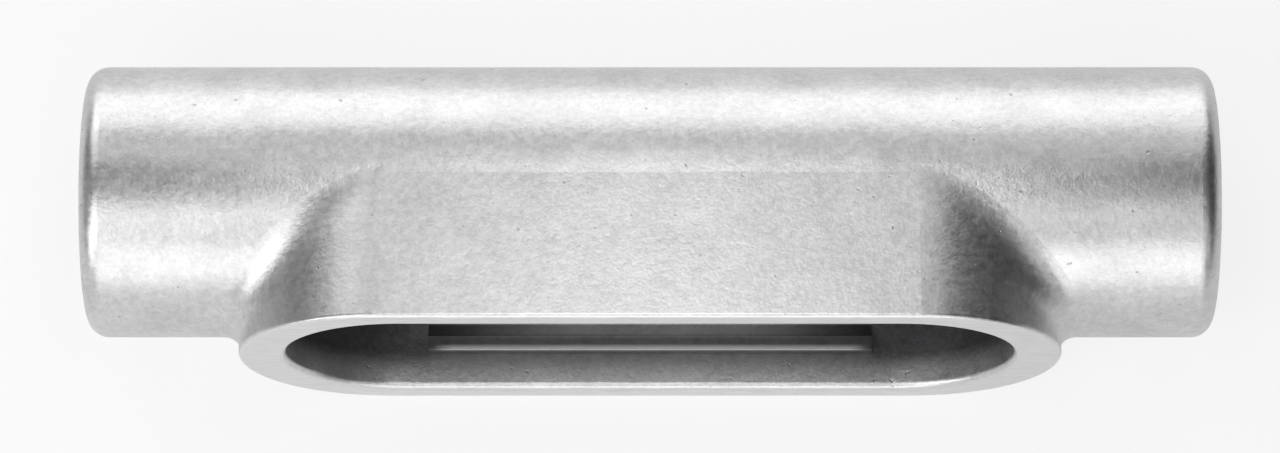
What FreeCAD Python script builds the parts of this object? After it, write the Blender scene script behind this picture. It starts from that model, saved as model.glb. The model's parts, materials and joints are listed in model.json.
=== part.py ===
"""Straight-through conduit body: one casting with a threaded hub at each end and a cover opening.

Lengths are in millimetres and angles in degrees.  While it is built the casting has its run
axis on X, its cover opening towards -Y and its two flared side walls towards +Z and -Z.  At
the end it is laid on its side, as it comes to rest on a bench: +X stays the run axis, +Z is
up, and the origin is on the bench under the middle of the casting.
"""

import FreeCAD, Part
import math
import os

from FreeCAD import Vector

# Threaded hubs, for a half-inch taper pipe thread
thread_diameter = 21.34
thread_depth = 16.5
thread_entry_chamfer = 1.0
hub_wall = 5.205
hub_reach = 17.9
hub_end_round = 2.4

# Integral bushing between each thread and the wiring space
bushing_lip = 2.77
bushing_length = 3.4
bushing_round = 1.2

# Cover seat: the flat, obround rim round the opening
seat_length = 96.0
seat_width = 34.2
seat_side_wall = 3.35
seat_end_wall = 5.5
seat_drop = 3.125
seat_outer_round = 0.5
seat_inner_round = 0.9

# Walls between the run and the seat
run_wall = 3.3
side_bite = 0.1
valley_tip_round = 1.9
valley_side_round = 12.0
core_tip_round = 1.5
core_side_round = 12.0
core_end_round = 3.0

# Clamp ledges, one inside each long wall, that the cover's clamps pull against
ledge_depth = 4.3
ledge_reach = 2.1
ledge_edge = 1.6
ledge_end_gap = 2.4
ledge_root = 1.0

# Worked out from the sizes above
thread_radius = thread_diameter / 2
hub_radius = thread_radius + hub_wall
throat_radius = thread_radius - bushing_lip
run_core_radius = hub_radius - run_wall
half_length = seat_length / 2 + hub_reach
seat_y = -(hub_radius + seat_drop)
seat_half_length = seat_length / 2
seat_half_width = seat_width / 2
opening_half_length = seat_half_length - seat_end_wall
opening_half_width = seat_half_width - seat_side_wall

# How near a point must lie to a face to count as on it
touching = 1e-3


def line(start, end):
    return Part.LineSegment(start, end).toShape()


def quarter(centre, start, end):
    """A quarter circle about centre, from start to end."""
    radius = (start - centre).Length
    half_way = (start - centre) + (end - centre)
    half_way.normalize()
    return Part.Arc(start, centre + half_way * radius, end).toShape()


def turned(edges):
    """A solid of revolution about the run axis from a closed profile in the XY plane."""
    return Part.Face(Part.Wire(edges)).revolve(Vector(0, 0, 0), Vector(1, 0, 0), 360)


def obround(half_length, half_width, y):
    """A wire with two straight sides and two semicircular ends, at one height on Y."""
    bend = half_length - half_width
    return Part.Wire([
        line(Vector(-bend, y, half_width), Vector(bend, y, half_width)),
        Part.Arc(Vector(bend, y, half_width), Vector(half_length, y, 0), Vector(bend, y, -half_width)).toShape(),
        line(Vector(bend, y, -half_width), Vector(-bend, y, -half_width)),
        Part.Arc(Vector(-bend, y, -half_width), Vector(-half_length, y, 0), Vector(-bend, y, half_width)).toShape(),
    ])


def side_lean(half_width, run_radius):
    """The angle at which a side wall leans out, from the run's surface to half_width at the seat.

    The wall is tangent to a circle side_bite inside the run, so it leaves the run almost in line.
    """
    reach = math.hypot(seat_y, half_width)
    return math.acos((run_radius - side_bite) / reach) - math.atan2(-seat_y, half_width)


def flared_block(half_length, half_width, run_radius):
    """An obround block that grows out of a run of that radius and leans out evenly to the seat."""
    lean = side_lean(half_width, run_radius)
    root_y = (run_radius - side_bite) * math.sin(lean)
    narrowing = math.tan(lean) * (root_y - seat_y)
    root = obround(half_length - narrowing, half_width - narrowing, root_y)
    mouth = obround(half_length, half_width, seat_y)
    return Part.makeLoft([root, mouth], True, True)


def edges_on(shape, test):
    """The edges whose ends and middle points all pass the test."""
    found = []
    for edge in shape.Edges:
        first, last = edge.ParameterRange
        samples = [edge.valueAt(first + (last - first) * share) for share in (0.0, 0.3, 0.5, 0.8, 1.0)]
        if all(test(point) for point in samples):
            found.append(edge)
    return found


def rounded_valley(shape, run_radius, tip_round, side_round):
    """The shape with a fillet that grows along the valley between the run and its flared block.

    The fillet is tight at the two tips, where the block's ends meet the run squarely, and wide
    at the side walls, which leave the run almost in line.  One quarter is rounded and mirrored.
    """
    def in_valley(point):
        return abs(math.hypot(point.y, point.z) - run_radius) < touching and point.y < run_radius / 2

    side = 2 * half_length
    quadrant = shape.common(Part.makeBox(side, side, side, Vector(0, -half_length, 0)))
    bend = next(edge for edge in edges_on(quadrant, in_valley) if not isinstance(edge.Curve, Part.Line))
    rounds = [tip_round, side_round]
    if bend.valueAt(bend.FirstParameter).z > run_radius / 2:
        rounds.reverse()
    quadrant = quadrant.makeFillet(rounds[0], rounds[1], [bend])
    half = quadrant.fuse(quadrant.mirror(Vector(0, 0, 0), Vector(1, 0, 0)))
    return half.fuse(half.mirror(Vector(0, 0, 0), Vector(0, 0, 1))).removeSplitter()


def run_barrel():
    """The round run with both hubs: one turned form with rounded ends."""
    end_round = min(hub_end_round, hub_wall / 2)
    shoulder = half_length - end_round
    crown = hub_radius - end_round
    return turned([
        line(Vector(-half_length, 0, 0), Vector(-half_length, crown, 0)),
        quarter(Vector(-shoulder, crown, 0), Vector(-half_length, crown, 0), Vector(-shoulder, hub_radius, 0)),
        line(Vector(-shoulder, hub_radius, 0), Vector(shoulder, hub_radius, 0)),
        quarter(Vector(shoulder, crown, 0), Vector(shoulder, hub_radius, 0), Vector(half_length, crown, 0)),
        line(Vector(half_length, crown, 0), Vector(half_length, 0, 0)),
        line(Vector(half_length, 0, 0), Vector(-half_length, 0, 0)),
    ])


def outer_form():
    """The barrel joined to the flared block that carries the cover seat."""
    block = flared_block(seat_half_length, seat_half_width, hub_radius)
    joined = run_barrel().fuse(block).removeSplitter()
    tip_round = min(valley_tip_round, seat_drop - 2 * seat_outer_round)
    return rounded_valley(joined, hub_radius, tip_round, valley_side_round)


def run_core():
    """The round wiring space, turned on the run axis, with its ends rounded in."""
    end_x = half_length - thread_depth - bushing_length
    corner = min(core_end_round, run_core_radius - throat_radius - bushing_round)
    knee = end_x - corner
    bend = run_core_radius - corner
    return turned([
        line(Vector(-end_x, 0, 0), Vector(-end_x, bend, 0)),
        quarter(Vector(-knee, bend, 0), Vector(-end_x, bend, 0), Vector(-knee, run_core_radius, 0)),
        line(Vector(-knee, run_core_radius, 0), Vector(knee, run_core_radius, 0)),
        quarter(Vector(knee, bend, 0), Vector(knee, run_core_radius, 0), Vector(end_x, bend, 0)),
        line(Vector(end_x, bend, 0), Vector(end_x, 0, 0)),
        line(Vector(end_x, 0, 0), Vector(-end_x, 0, 0)),
    ])


def wiring_space():
    """The hollow: the round core joined to the flared mouth that opens at the seat."""
    mouth = flared_block(opening_half_length, opening_half_width, run_core_radius)
    joined = run_core().fuse(mouth).removeSplitter()
    return rounded_valley(joined, run_core_radius, core_tip_round, core_side_round)


def hub_bore(side):
    """The threaded bore's envelope with its entry chamfer, and the bushing's rounded throat.

    side is 1 for the hub towards +X and -1 for the other.
    """
    inner_x = half_length - thread_depth - bushing_length
    thread_x = half_length - thread_depth
    chamfer_x = half_length - thread_entry_chamfer
    past_x = half_length + thread_entry_chamfer
    flare = throat_radius + bushing_round
    wide = thread_radius + 2 * thread_entry_chamfer
    overlap = 1.0

    def at(x, radius):
        return Vector(side * x, radius, 0)

    return turned([
        line(at(inner_x - overlap, 0), at(inner_x - overlap, flare)),
        line(at(inner_x - overlap, flare), at(inner_x, flare)),
        quarter(at(inner_x + bushing_round, flare), at(inner_x, flare), at(inner_x + bushing_round, throat_radius)),
        line(at(inner_x + bushing_round, throat_radius), at(thread_x - bushing_round, throat_radius)),
        quarter(at(thread_x - bushing_round, flare), at(thread_x - bushing_round, throat_radius), at(thread_x, flare)),
        line(at(thread_x, flare), at(thread_x, thread_radius)),
        line(at(thread_x, thread_radius), at(chamfer_x, thread_radius)),
        line(at(chamfer_x, thread_radius), at(past_x, wide)),
        line(at(past_x, wide), at(past_x, 0)),
        line(at(past_x, 0), at(inner_x - overlap, 0)),
    ])


def clamp_ledge(side):
    """A straight ledge inside one long wall, flat towards the seat and sloped on its far side.

    side is 1 for the wall towards +Z and -1 for the other.
    """
    face_y = seat_y + ledge_depth
    wall = opening_half_width - ledge_depth * math.tan(side_lean(opening_half_width, run_core_radius))
    slope_y = face_y + ledge_edge
    half = opening_half_length - opening_half_width - ledge_end_gap
    outline = [
        (face_y, wall + ledge_root),
        (face_y, wall - ledge_reach),
        (slope_y, wall - ledge_reach),
        (slope_y + ledge_reach, wall),
        (slope_y + ledge_reach, wall + ledge_root),
    ]
    corners = [Vector(-half, y, side * z) for y, z in outline]
    section = Part.Face(Part.makePolygon(corners + corners[:1]))
    return section.extrude(Vector(2 * half, 0, 0))


def machined_seat(shape):
    """The rim's two edges broken: a small round outside and another into the opening."""
    def on_seat(point):
        return abs(point.y - seat_y) < touching

    def in_opening(point):
        bend = opening_half_length - opening_half_width
        reach = math.hypot(max(abs(point.x) - bend, 0.0), point.z)
        return on_seat(point) and abs(reach - opening_half_width) < touching

    outer = [edge for edge in edges_on(shape, on_seat) if not in_opening(edge.valueAt(edge.FirstParameter))]
    broken = shape.makeFillet(seat_outer_round, outer)
    return broken.makeFillet(seat_inner_round, edges_on(broken, in_opening))


def laid_on_side(shape):
    """Turned about the run axis until the hubs and the seat's rounded edge share the bench."""
    flare = side_lean(seat_half_width, hub_radius)
    edge_y = -seat_y - seat_outer_round
    edge_z = seat_half_width - seat_outer_round * (math.tan(flare) + 1 / math.cos(flare))
    spread = math.acos((hub_radius - seat_outer_round) / math.hypot(edge_y, edge_z))
    lie_angle = math.degrees(spread - math.atan2(edge_y, edge_z))
    shape.rotate(Vector(0, 0, 0), Vector(1, 0, 0), -lie_angle)
    box = shape.optimalBoundingBox(False, False)
    shape.translate(Vector(-box.Center.x, -box.Center.y, -box.ZMin))
    return shape


def conduit_body():
    solid = outer_form().cut(wiring_space())
    for side in (-1, 1):
        solid = solid.cut(hub_bore(side))
    solid = machined_seat(solid)
    for side in (-1, 1):
        solid = solid.fuse(clamp_ledge(side))
    return laid_on_side(solid.removeSplitter())


os.makedirs("parts", exist_ok=True)
conduit_body().exportStep("parts/conduit_body.step")
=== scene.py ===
import json
import math

import bpy
from mathutils import Matrix, Vector


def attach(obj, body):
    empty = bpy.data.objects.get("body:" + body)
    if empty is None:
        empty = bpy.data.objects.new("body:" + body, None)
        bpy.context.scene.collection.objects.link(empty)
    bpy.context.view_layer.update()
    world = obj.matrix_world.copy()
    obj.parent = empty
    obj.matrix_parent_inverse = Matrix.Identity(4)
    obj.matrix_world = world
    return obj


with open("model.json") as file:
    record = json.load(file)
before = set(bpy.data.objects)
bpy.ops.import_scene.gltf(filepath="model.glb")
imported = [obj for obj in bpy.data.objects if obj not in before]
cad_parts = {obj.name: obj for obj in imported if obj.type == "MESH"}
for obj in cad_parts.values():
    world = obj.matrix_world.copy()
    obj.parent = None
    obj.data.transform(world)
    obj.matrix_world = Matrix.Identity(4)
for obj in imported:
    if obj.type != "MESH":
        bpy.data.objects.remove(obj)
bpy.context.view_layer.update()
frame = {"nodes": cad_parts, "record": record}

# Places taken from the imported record, in metres
mounts = {mount["name"]: mount for mount in frame["record"]["mounts"]}
casting = frame["nodes"]["conduit_body"]
hub_mount = mounts["hub_right"]
run_axis_y = hub_mount["pos_m"][1]
run_axis_z = hub_mount["pos_m"][2]
bore_radius = hub_mount["dims"]["r_mm"] / 1000
seat_point = Vector(mounts["cover_seat"]["pos_m"])
seat_normal = Vector(mounts["cover_seat"]["axis"])
run_centre = Vector((0, run_axis_y, run_axis_z))
along_run = Vector((1, 0, 0))
across_run = along_run.cross(seat_normal)
seat_height = (seat_point - run_centre).dot(seat_normal)

# Surfaces that tell the casting's inside from its outer skin, each half way through a wall
skin_radius = 0.0142
mouth_half_width = 0.0152
mouth_bend = 0.0299
mouth_floor = 0.005
bushing_face = 0.0494
wall_blend = 0.0003
depth_blend = 0.001

# Depths below the cover seat, and distances from the middle, over which painted shade darkens the
# inside
painted_shade_from_depth = 0.0006
painted_shade_at_depth = 0.0046
shade_deepens_from_middle = 0.014
shade_deepest_at_ends = 0.034
gap_from_depth = 0.0054
gap_at_depth = 0.0066
gap_full_to = 0.009
gap_ends_at = 0.031

# Clamp ledges inside the opening, and the painted highlight along their edge
ledge_depth = 0.0043
ledge_tip = 0.0114
ledge_half_length = 0.02635
highlight_below_edge = 0.0007
highlight_above_edge = 0.0003
highlight_from_tip = 0.0008
highlight_end_fade = 0.003
highlight_blend = 0.0001

# Camera, as the photograph was taken: nearly square to one side wall, from a little way off
camera_distance = 0.682
camera_lean = math.radians(13.64)
focal_pixels = 5800
frame_width_pixels = 1280
sensor_width = 36.0
metres_per_pixel = camera_distance / focal_pixels
centre_right_pixels = 10.0
centre_up_pixels = 24.2
nearest_seen = 0.01
farthest_seen = 20

# Cast skin: grain in waves per metre, its weight in the tone, and its relief
blotch_waves = 180
grain_waves = 1150
speck_waves = 3000
pit_waves = 1300
blotch_tone = 0.30
grain_tone = 0.40
speck_tone = 0.30
grain_relief = 0.5
speck_relief = 0.25
pit_relief = 0.4
skin_relief_height = 0.000065
skin_roughness = (0.34, 0.40)
inside_roughness = 0.15

# Ground cover seat: how deep below its face the grinding ends, and its scratches along X
ground_blend = (-0.00028, -0.00008)
scratch_waves = 5200
scratch_stretch = (0.05, 1, 1)
scratch_relief = 0.2

# Cut thread: tool marks that run round the bore, and stains
mark_waves = 9000
mark_stretch = (1, 0.08, 0.08)
mark_relief = 0.3
mark_height = 0.00006
stain_waves = 350
thread_roughness = (0.28, 0.42)

# Thread form, American taper pipe thread in the half-inch size, in metres
threads_per_inch = 14
pitch = 0.0254 / threads_per_inch
thread_taper = 1 / 32
root_at_mouth = 0.01061
thread_height = 0.00129
crest_flat = 0.00012
root_flat = 0.00014
turn_segments = 96


def grey(level):
    """A grey with the faint blue of aluminium."""
    return (level, level, level + 0.005)


def new_material(name):
    """A material with its node tree and the shader node, ready to be dressed."""
    material = bpy.data.materials.new(name)
    material.use_nodes = True
    tree = material.node_tree
    return material, tree, tree.nodes["Principled BSDF"]


def noise(tree, place, scale, detail, roughness=0.6):
    """Noise over the surface; scale is in waves per metre."""
    made = tree.nodes.new("ShaderNodeTexNoise")
    made.inputs["Scale"].default_value = scale
    made.inputs["Detail"].default_value = detail
    made.inputs["Roughness"].default_value = roughness
    tree.links.new(place, made.inputs["Vector"])
    return made.outputs["Fac"]


def ramp(tree, value, low, high, low_value=0.0, high_value=1.0, smooth=True):
    """Maps value from the range low to high onto low_value to high_value; low may be the greater."""
    made = tree.nodes.new("ShaderNodeMapRange")
    made.interpolation_type = "SMOOTHSTEP" if smooth else "LINEAR"
    made.inputs["From Min"].default_value = low
    made.inputs["From Max"].default_value = high
    made.inputs["To Min"].default_value = low_value
    made.inputs["To Max"].default_value = high_value
    tree.links.new(value, made.inputs["Value"])
    return made.outputs["Result"]


def calculate(tree, operation, first, *others):
    """Joins the operands in turn with one operation; each is a socket or a plain number."""
    result = first
    for operand in others or (None,):
        made = tree.nodes.new("ShaderNodeMath")
        made.operation = operation
        for socket, value in zip(made.inputs, (result, operand)):
            if isinstance(value, (int, float)):
                socket.default_value = value
            elif value is not None:
                tree.links.new(value, socket)
        result = made.outputs["Value"]
    return result


def hypotenuse(tree, first, second):
    squares = [calculate(tree, "MULTIPLY", leg, leg) for leg in (first, second)]
    return calculate(tree, "SQRT", calculate(tree, "ADD", *squares))


def mix_colour(tree, share, first, second):
    """first where share is 0 and second where it is 1; each is a colour or a socket."""
    made = tree.nodes.new("ShaderNodeMix")
    made.data_type = "RGBA"
    tree.links.new(share, made.inputs["Factor"])
    for socket, colour in ((made.inputs[6], first), (made.inputs[7], second)):
        if isinstance(colour, tuple):
            socket.default_value = (*colour, 1.0)
        else:
            tree.links.new(colour, socket)
    return made.outputs[2]


def dot_with(tree, place, direction, origin):
    """How far place lies from origin along direction, in metres."""
    shift = tree.nodes.new("ShaderNodeVectorMath")
    shift.operation = "SUBTRACT"
    tree.links.new(place, shift.inputs[0])
    shift.inputs[1].default_value = origin
    product = tree.nodes.new("ShaderNodeVectorMath")
    product.operation = "DOT_PRODUCT"
    tree.links.new(shift.outputs["Vector"], product.inputs[0])
    product.inputs[1].default_value = direction
    return product.outputs["Value"]


def stretched(tree, place, scale):
    """The same place, scaled by axis, for grain that runs one way."""
    made = tree.nodes.new("ShaderNodeVectorMath")
    made.operation = "MULTIPLY"
    tree.links.new(place, made.inputs[0])
    made.inputs[1].default_value = scale
    return made.outputs["Vector"]


def add_bump(tree, shader, relief, strength, distance):
    """Roughens the shading with a relief that is distance metres high where it is 1."""
    bump = tree.nodes.new("ShaderNodeBump")
    bump.inputs["Strength"].default_value = strength
    bump.inputs["Distance"].default_value = distance
    tree.links.new(relief, bump.inputs["Height"])
    tree.links.new(bump.outputs["Normal"], shader.inputs["Normal"])


def casting_distances(tree, place):
    """How far place lies from the middle plane, from the middle cross-section and towards the seat."""
    from_plane = calculate(tree, "ABSOLUTE", dot_with(tree, place, across_run, run_centre))
    from_middle = calculate(tree, "ABSOLUTE", dot_with(tree, place, along_run, run_centre))
    towards_seat = dot_with(tree, place, seat_normal, run_centre)
    return from_plane, from_middle, towards_seat


def inside_share(tree, from_plane, from_middle, towards_seat):
    """1 on the walls of the wiring space, and 0 on the outer skin and beyond the bushings."""
    from_axis = hypotenuse(tree, from_plane, towards_seat)
    within_skin = ramp(tree, from_axis, skin_radius + wall_blend, skin_radius - wall_blend)
    between_bushings = ramp(tree, from_middle, bushing_face, bushing_face - depth_blend)
    in_run = calculate(tree, "MULTIPLY", within_skin, between_bushings)

    past_bend = calculate(tree, "MAXIMUM", calculate(tree, "SUBTRACT", from_middle, mouth_bend), 0.0)
    from_spine = hypotenuse(tree, from_plane, past_bend)
    within_mouth = ramp(tree, from_spine, mouth_half_width + wall_blend, mouth_half_width - wall_blend)
    near_seat = ramp(tree, towards_seat, mouth_floor - depth_blend, mouth_floor + depth_blend)
    # In the mouth the share fades in with depth below the seat's edge, which also sets where the
    # painted shade begins
    below_edge = ramp(tree, towards_seat, seat_height - painted_shade_from_depth, seat_height - painted_shade_at_depth)
    in_mouth = calculate(tree, "MULTIPLY", within_mouth, near_seat, below_edge)
    return calculate(tree, "MAXIMUM", in_run, in_mouth)


def painted_ledge_highlight(tree, from_plane, from_middle, towards_seat):
    """1 along each clamp ledge's edge, where a highlight is painted into the colour."""
    edge_height = seat_height - ledge_depth
    above_foot = ramp(tree, towards_seat, edge_height - highlight_below_edge, edge_height - highlight_blend)
    below_top = ramp(tree, towards_seat, edge_height + highlight_above_edge, edge_height + highlight_blend)
    at_tip = ramp(tree, from_plane, ledge_tip + highlight_from_tip, ledge_tip + 2 * highlight_blend)
    between_ends = ramp(tree, from_middle, ledge_half_length, ledge_half_length - highlight_end_fade)
    return calculate(tree, "MULTIPLY", above_foot, below_top, at_tip, between_ends)


def painted_shade_share(tree, inside, from_middle, height):
    """How much painted shade the wiring space takes: all of it but the middle of the walls behind the
    ledges.
    """
    in_gap = ramp(tree, height, -gap_from_depth, -gap_at_depth)
    near_middle = ramp(tree, from_middle, gap_ends_at, gap_full_to)
    bright = calculate(tree, "MULTIPLY", in_gap, near_middle)
    return calculate(tree, "MULTIPLY", inside, calculate(tree, "SUBTRACT", 1.0, bright))


def inside_shade_colour(tree, tone, from_middle):
    """The painted shade of the wiring space, a dark grey that darkens further towards both ends."""
    painted_shade = mix_colour(tree, tone, grey(0.16), grey(0.24))
    deeper_shade = mix_colour(tree, tone, grey(0.08), grey(0.13))
    return mix_colour(tree, ramp(tree, from_middle, shade_deepens_from_middle, shade_deepest_at_ends), painted_shade, deeper_shade)


def cast_metal():
    """Sand-cast aluminium: a granular, faintly mottled grey skin, with the cover seat ground flat,
    painted shade in the wiring space and a painted highlight along the clamp ledges' edges.
    """
    material, tree, shader = new_material("cast_aluminium")
    place = tree.nodes.new("ShaderNodeTexCoord").outputs["Object"]
    from_plane, from_middle, towards_seat = casting_distances(tree, place)
    height = dot_with(tree, place, seat_normal, seat_point)

    blotch = noise(tree, place, blotch_waves, detail=3)
    grain = noise(tree, place, grain_waves, detail=3)
    speck = noise(tree, place, speck_waves, detail=2)
    scratch = noise(tree, stretched(tree, place, scratch_stretch), scratch_waves, detail=3)
    pit = ramp(tree, noise(tree, place, pit_waves, detail=1, roughness=0.4), 0.75, 0.82)
    tone = calculate(tree, "ADD", calculate(tree, "MULTIPLY", blotch, blotch_tone),
                     calculate(tree, "MULTIPLY", grain, grain_tone),
                     calculate(tree, "MULTIPLY", speck, speck_tone))
    tone = ramp(tree, tone, 0.36, 0.64, smooth=False)

    ground = ramp(tree, height, *ground_blend)
    inside = inside_share(tree, from_plane, from_middle, towards_seat)
    # Painted shade: the wiring space is darkened in colour, more with depth and towards its ends
    painted_shade = painted_shade_share(tree, inside, from_middle, height)
    ledge_highlight = painted_ledge_highlight(tree, from_plane, from_middle, towards_seat)

    skin_colour = mix_colour(tree, tone, grey(0.53), grey(0.74))
    skin_colour = mix_colour(tree, pit, skin_colour, grey(0.42))
    ground_colour = mix_colour(tree, ramp(tree, scratch, 0.3, 0.7), grey(0.70), grey(0.82))
    colour = mix_colour(tree, ground, skin_colour, ground_colour)
    # The painted shade laid over the skin colour inside
    colour = mix_colour(tree, painted_shade, colour, inside_shade_colour(tree, tone, from_middle))
    # Painted highlight: a light grey strip along each clamp ledge's edge
    colour = mix_colour(tree, ledge_highlight, colour, grey(0.86))
    tree.links.new(colour, shader.inputs["Base Color"])

    skin_rough = ramp(tree, grain, 0.3, 0.7, *skin_roughness, smooth=False)
    rough = calculate(tree, "ADD", skin_rough, calculate(tree, "MULTIPLY", inside, inside_roughness))
    tree.links.new(rough, shader.inputs["Roughness"])
    shader.inputs["Metallic"].default_value = 1.0

    bumps = calculate(tree, "ADD", calculate(tree, "MULTIPLY", grain, grain_relief),
                      calculate(tree, "MULTIPLY", speck, speck_relief))
    cast_relief = calculate(tree, "SUBTRACT", bumps, calculate(tree, "MULTIPLY", pit, pit_relief))
    cast_relief = calculate(tree, "MULTIPLY", cast_relief, calculate(tree, "SUBTRACT", 1.0, ground))
    ground_relief = calculate(tree, "MULTIPLY", scratch, scratch_relief, ground)
    relief = calculate(tree, "ADD", cast_relief, ground_relief)
    add_bump(tree, shader, relief, strength=1.0, distance=skin_relief_height)
    return material


def cut_thread_metal():
    """Freshly cut aluminium, brighter than the cast skin, with tool marks round the bore."""
    material, tree, shader = new_material("cut_aluminium")
    place = tree.nodes.new("ShaderNodeTexCoord").outputs["Object"]
    marks = noise(tree, stretched(tree, place, mark_stretch), mark_waves, detail=3)
    stain = ramp(tree, noise(tree, place, stain_waves, detail=4), 0.35, 0.65)
    tree.links.new(mix_colour(tree, stain, grey(0.58), grey(0.74)), shader.inputs["Base Color"])
    tree.links.new(ramp(tree, marks, 0.3, 0.7, *thread_roughness), shader.inputs["Roughness"])
    shader.inputs["Metallic"].default_value = 1.0
    add_bump(tree, shader, marks, strength=mark_relief, distance=mark_height)
    return material


def mesh_piece(name, points, faces, material):
    """A mesh object of one material, in the scene."""
    mesh = bpy.data.meshes.new(name)
    mesh.from_pydata(points, [], faces)
    mesh.validate()
    mesh.materials.append(material)
    piece = bpy.data.objects.new(name, mesh)
    bpy.context.scene.collection.objects.link(piece)
    return piece


def bridge(faces, here, there, count):
    """Adds the faces between two closed rings of count points that start at here and there."""
    for step in range(count):
        after = (step + 1) % count
        faces.append((here + step, here + after, there + after, there + step))


def thread_piece(name, mount, material):
    """The taper thread cut in one hub: a tapered liner with the helical ridges standing on it.

    The ridges rise over the first part of a turn under the hub's mouth, where the entry chamfer
    cuts across them, and run out over the last turn before the bushing.
    """
    centre = Vector(mount["pos_m"])
    outward = mount["axis"][0]
    depth = mount["dims"]["length_mm"] / 1000
    embed = 0.00005
    first_turn = 0.5
    run_in_turns = 0.4
    run_out_turns = 1.3
    least_share = 0.02
    points = []
    faces = []

    def put(inset, radius, angle):
        """Adds a point that lies inset metres in from the thread's outer end."""
        x = centre.x + outward * (depth / 2 - inset)
        points.append((x, centre.y + radius * math.cos(angle), centre.z + radius * math.sin(angle)))

    def root_radius(inset):
        return root_at_mouth - thread_taper * inset

    def chamfered(inset, radius):
        return max(radius, bore_radius - inset)

    liner_stations = [0.0, bore_radius - root_radius(0), depth / 2, depth]
    for segment in range(turn_segments):
        angle = 2 * math.pi * segment / turn_segments
        for station in liner_stations:
            put(station, chamfered(station, root_radius(station)), angle)
        put(depth, bore_radius + embed, angle)
        put(0.0, bore_radius + embed, angle)
    ring = len(liner_stations) + 2
    for segment in range(turn_segments):
        bridge(faces, segment * ring, ((segment + 1) % turn_segments) * ring, ring)

    ridge_start = len(points)
    flank = (pitch - crest_flat - root_flat) / 2
    section = [
        (-crest_flat / 2 - flank, -embed),
        (-crest_flat / 2, thread_height),
        (crest_flat / 2, thread_height),
        (crest_flat / 2 + flank, -embed),
    ]
    corners = len(section)
    turns = depth / pitch - 1
    steps = int(turns * turn_segments)
    for step in range(steps + 1):
        angle = 2 * math.pi * step / turn_segments
        begun = step / turn_segments
        left = (steps - step) / turn_segments
        middle = pitch * (first_turn + begun)
        share = min(1.0, max(least_share, min(begun / run_in_turns, left / run_out_turns)))
        for offset, height in section:
            inset = middle + offset
            radius = root_radius(inset) - (height * share if height > 0 else height)
            put(inset, chamfered(inset, radius), outward * angle)
    for step in range(steps):
        here = ridge_start + corners * step
        bridge(faces, here, here + corners, corners)
    faces.append(tuple(ridge_start + corner for corner in reversed(range(corners))))
    last = ridge_start + corners * steps
    faces.append(tuple(last + corner for corner in range(corners)))
    return mesh_piece(name, points, faces, material)


def softbox(name, tilt, lean, width, height, power, distance=0.5, spread=180):
    """A rectangular lamp that faces the run's middle from distance metres away.

    tilt is in degrees from straight up towards +Y, lean is in degrees from there towards +X,
    width is the lamp's size along X and height its size across.  spread is the whole angle of
    its beam in degrees.
    """
    tilt = math.radians(tilt)
    lean = math.radians(lean)
    toward = Vector((math.sin(lean), math.cos(lean) * math.sin(tilt), math.cos(lean) * math.cos(tilt)))
    data = bpy.data.lights.new(name, "AREA")
    data.shape = "RECTANGLE"
    data.size = width
    data.size_y = height
    data.energy = power
    data.spread = math.radians(spread)
    light = bpy.data.objects.new(name, data)
    light.location = run_centre + distance * toward
    light.rotation_mode = "QUATERNION"
    light.rotation_quaternion = (-toward).to_track_quat("-Z", "Y")
    light.visible_camera = False
    bpy.context.scene.collection.objects.link(light)


def floor_material():
    """A matt white that shows near white to the camera and is dimmer where the metal mirrors it."""
    seen_glow = 0.8
    mirrored_glow = 0.35
    material, tree, shader = new_material("pale_floor")
    shader.inputs["Base Color"].default_value = (0.9, 0.9, 0.9, 1)
    shader.inputs["Roughness"].default_value = 0.9
    shader.inputs["Specular IOR Level"].default_value = 0.1
    glow = tree.nodes.new("ShaderNodeEmission")
    glow.inputs["Strength"].default_value = 1.0
    ray = tree.nodes.new("ShaderNodeLightPath").outputs
    seen = calculate(tree, "MAXIMUM", ray["Is Camera Ray"], ray["Is Transmission Ray"])
    share = calculate(tree, "MAXIMUM", calculate(tree, "MULTIPLY", seen, seen_glow),
                      calculate(tree, "MULTIPLY", ray["Is Glossy Ray"], mirrored_glow))
    blend = tree.nodes.new("ShaderNodeMixShader")
    tree.links.new(share, blend.inputs["Fac"])
    tree.links.new(shader.outputs["BSDF"], blend.inputs[1])
    tree.links.new(glow.outputs["Emission"], blend.inputs[2])
    tree.links.new(blend.outputs["Shader"], tree.nodes["Material Output"].inputs["Surface"])
    return material


def build_floor():
    """A plain pale floor that shows near white and still takes the casting's soft shadow.

    It is a wide dish: flat round the casting, and turned up a little at its far edge, so that a
    low view meets the same pale surface behind the casting.
    """
    flat_reach = 2.0
    rise_width = 1.0
    rise_height = 0.30
    below_casting = 0.0001
    rings = 12
    sectors = 96
    points = [(0.0, 0.0, 0.0)]
    for ring in range(rings + 1):
        share = ring / rings
        reach = flat_reach + rise_width * share
        for sector in range(sectors):
            angle = 2 * math.pi * sector / sectors
            points.append((reach * math.cos(angle), reach * math.sin(angle), rise_height * share ** 2))
    faces = [(0, 1 + sector, 1 + (sector + 1) % sectors) for sector in range(sectors)]
    for ring in range(rings):
        inner = 1 + ring * sectors
        for sector in range(sectors):
            after = (sector + 1) % sectors
            outer = inner + sectors
            faces.append((inner + sector, outer + sector, outer + after, inner + after))
    floor = mesh_piece("floor", points, faces, floor_material())
    floor.data.polygons.foreach_set("use_smooth", [True] * len(faces))
    floor.location.z = -below_casting


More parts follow.
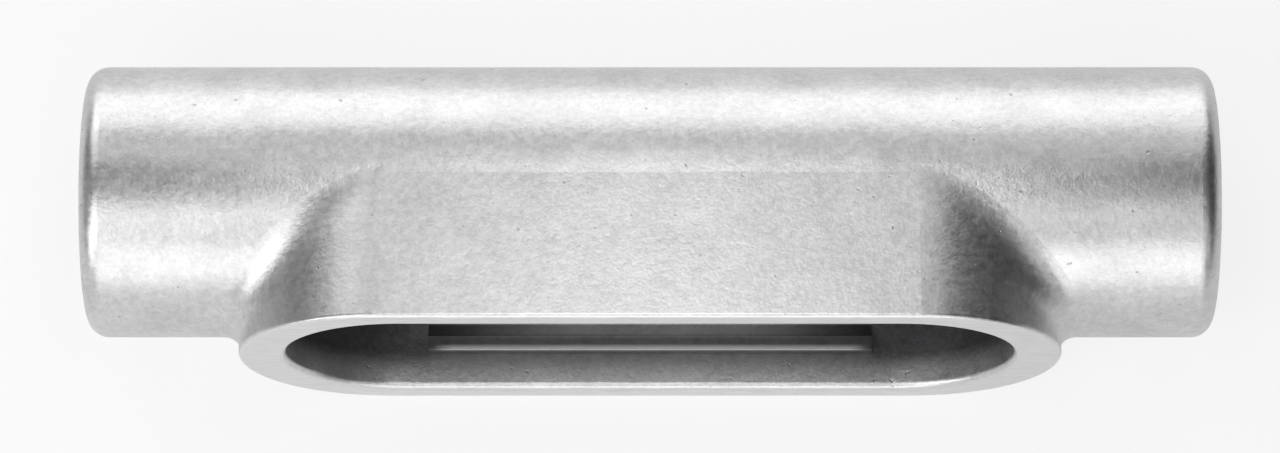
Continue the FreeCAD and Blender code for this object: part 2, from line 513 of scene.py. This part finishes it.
def build_world():
    """An even, weak fill light from all round."""
    fill_strength = 0.03
    world = bpy.data.worlds.new("studio")
    world.use_nodes = True
    background = world.node_tree.nodes["Background"]
    background.inputs["Color"].default_value = (1, 1, 1, 1)
    background.inputs["Strength"].default_value = fill_strength
    bpy.context.scene.world = world


def build_lights():
    softbox("back", tilt=71, lean=0, width=0.76, height=0.37, power=1.46)
    softbox("high_back", tilt=32, lean=-8, width=0.62, height=0.14, power=0.15)
    softbox("overhead", tilt=4, lean=0, width=0.06, height=0.13, power=0.015, distance=0.2, spread=70)
    softbox("high_front", tilt=-25, lean=0, width=0.34, height=0.22, power=0.27)
    softbox("front", tilt=-66, lean=0, width=0.50, height=0.37, power=1.03)
    softbox("left", tilt=-40, lean=-38, width=0.22, height=0.50, power=0.95)
    softbox("left_edge", tilt=4, lean=-68, width=0.30, height=0.30, power=0.07)
    softbox("left_back", tilt=44, lean=-33, width=0.22, height=0.42, power=0.30)
    softbox("right_back", tilt=35, lean=18, width=0.10, height=0.20, power=0.05)
    softbox("right_front", tilt=-44, lean=38, width=0.10, height=0.48, power=0.14)


def build_camera():
    data = bpy.data.cameras.new("camera")
    data.sensor_width = sensor_width
    data.lens = focal_pixels * sensor_width / frame_width_pixels
    data.clip_start = nearest_seen
    data.clip_end = farthest_seen
    camera = bpy.data.objects.new("camera", data)
    back = Vector((0, -math.sin(camera_lean), math.cos(camera_lean)))
    up = back.cross(along_run)
    place = run_centre + back * camera_distance
    aim = run_centre - metres_per_pixel * (centre_right_pixels * along_run + centre_up_pixels * up)
    back = (place - aim).normalized()
    right = up.cross(back).normalized()
    up = back.cross(right)
    turn = Matrix((right, up, back)).transposed()
    camera.matrix_world = Matrix.Translation(place) @ turn.to_4x4()
    bpy.context.scene.collection.objects.link(camera)
    bpy.context.scene.camera = camera


def dress_casting():
    """The CAD casting keeps its form and gets the cast skin; the hubs get their cut threads."""
    casting.data.materials.clear()
    casting.data.materials.append(cast_metal())
    thread_metal = cut_thread_metal()
    for name in ("hub_right", "hub_left"):
        piece = thread_piece(name + "_thread", mounts[name], thread_metal)
        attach(piece, "root")


dress_casting()
build_floor()
build_world()
build_lights()
build_camera()
bpy.context.scene.view_settings.view_transform = "Standard"
